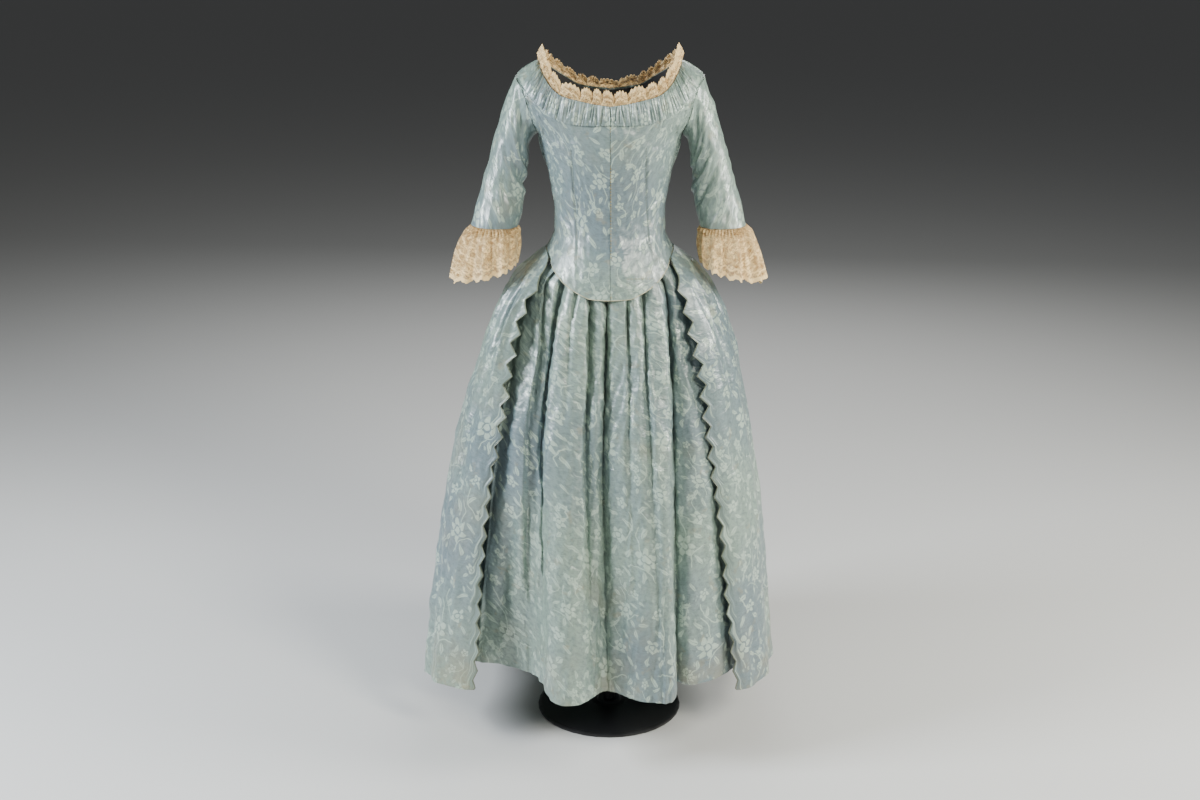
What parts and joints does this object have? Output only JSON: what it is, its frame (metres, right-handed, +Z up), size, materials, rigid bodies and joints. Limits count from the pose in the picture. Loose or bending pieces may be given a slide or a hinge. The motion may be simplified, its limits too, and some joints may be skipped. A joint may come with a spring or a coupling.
{
  "type": "robe a la francaise on a limbless dress form",
  "caption": "Open robe with a sack back, closed bodice, elbow sleeves with lace ruffles and a pleated petticoat, on a limbless dress form with a pole and round base.",
  "frame": {"origin": "on the floor under the middle of the round base", "axes": "+Z up, +X to the wearer's left, and the front of the robe looks along -Y"},
  "size_m": [0.7261, 0.7568, 1.3664],
  "materials": {
    "silk": "pale blue-green silk damask, tone on tone flowers, satin sheen",
    "lace": "cream cotton lace, aged",
    "form_cover": "black jersey, smooth",
    "stand": "satin black paint"
  },
  "bodies": {
    "root": {"form_base": "stand", "form_pole": "stand", "form_torso": "form_cover", "petticoat_waistband": "silk", "petticoat": "silk", "bodice_front_right": "silk", "bodice_front_left": "silk", "bodice_side_back_right": "silk", "bodice_side_back_left": "silk", "neck_band_right": "silk", "neck_band_left": "silk", "robe_skirt_right": "silk", "robe_skirt_left": "silk", "sleeve_right": "silk", "sleeve_left": "silk", "sleeve_ruffle_right": "lace", "sleeve_ruffle_left": "lace", "sack_back": "silk", "neck_lace": "lace"}
  },
  "joints": []
}
